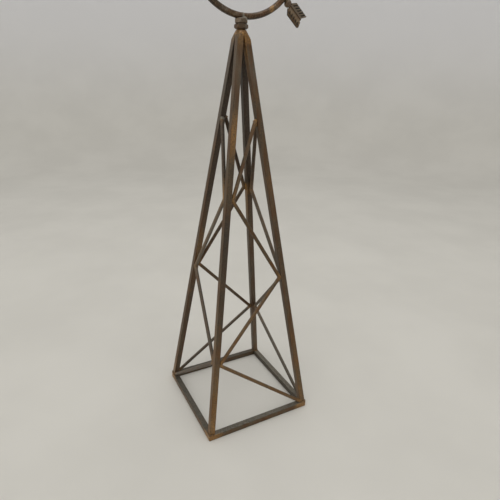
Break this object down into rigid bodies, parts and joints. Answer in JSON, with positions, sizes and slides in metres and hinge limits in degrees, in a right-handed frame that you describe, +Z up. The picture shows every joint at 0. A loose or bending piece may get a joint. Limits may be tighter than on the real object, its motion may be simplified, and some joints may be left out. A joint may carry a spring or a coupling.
{
  "type": "garden obelisk",
  "caption": "Four-legged pyramid obelisk of welded square tube with zigzag rods in each face and a turning armillary ring with an arrow on top.",
  "frame": {"origin": "centre of the square that the base stands on, on the ground", "axes": "+Z up along the obelisk's axis, -Y the front, +X to the right of the front; the ring and the arrow lie in the XZ plane with the arrow's tail towards +X"},
  "size_m": [0.456, 0.4, 1.7163],
  "materials": {
    "leg_tube": "satin bronze-brown lacquer, rubbed to orange-brown",
    "base_tube": "satin grey-brown lacquer, dusty on top",
    "zigzag_rod": "satin bronze-brown lacquer",
    "ring_tube": "satin olive-brown lacquer with rubbed golden patches",
    "nut_steel": "dark brown lacquer over steel",
    "arrow_metal": "antique bronze, worn light on raised ribs",
    "weld_metal": "golden heat-tinted weld metal"
  },
  "bodies": {
    "frame": {"leg_front_left": "leg_tube", "leg_front_right": "leg_tube", "leg_back_right": "leg_tube", "leg_back_left": "leg_tube", "base_rail_front": "base_tube", "base_rail_right": "base_tube", "base_rail_back": "base_tube", "base_rail_left": "base_tube", "zigzag_front": "zigzag_rod", "zigzag_right": "zigzag_rod", "zigzag_back": "zigzag_rod", "zigzag_left": "zigzag_rod", "apex_stud": "nut_steel", "apex_weld": "weld_metal"},
    "lock_nut": {"lock_nut": "nut_steel"},
    "head": {"boss_nut": "nut_steel", "meridian_ring": "ring_tube", "equatorial_ring": "ring_tube", "arrow_shaft": "arrow_metal", "tail_ball": "nut_steel", "point_ball": "nut_steel", "arrow_fletching": "arrow_metal", "arrow_head": "arrow_metal"}
  },
  "joints": [
    {"name": "head_turn", "type": "hinge", "parent": "frame", "child": "head", "pos_m": [0, 0, 1.318], "axis": [0, 0, 1], "range_deg": [-180, 180]},
    {"name": "lock_nut_turn", "type": "hinge", "parent": "frame", "child": "lock_nut", "pos_m": [0, 0, 1.304], "axis": [0, 0, 1], "range_deg": [-150, 0]}
  ]
}
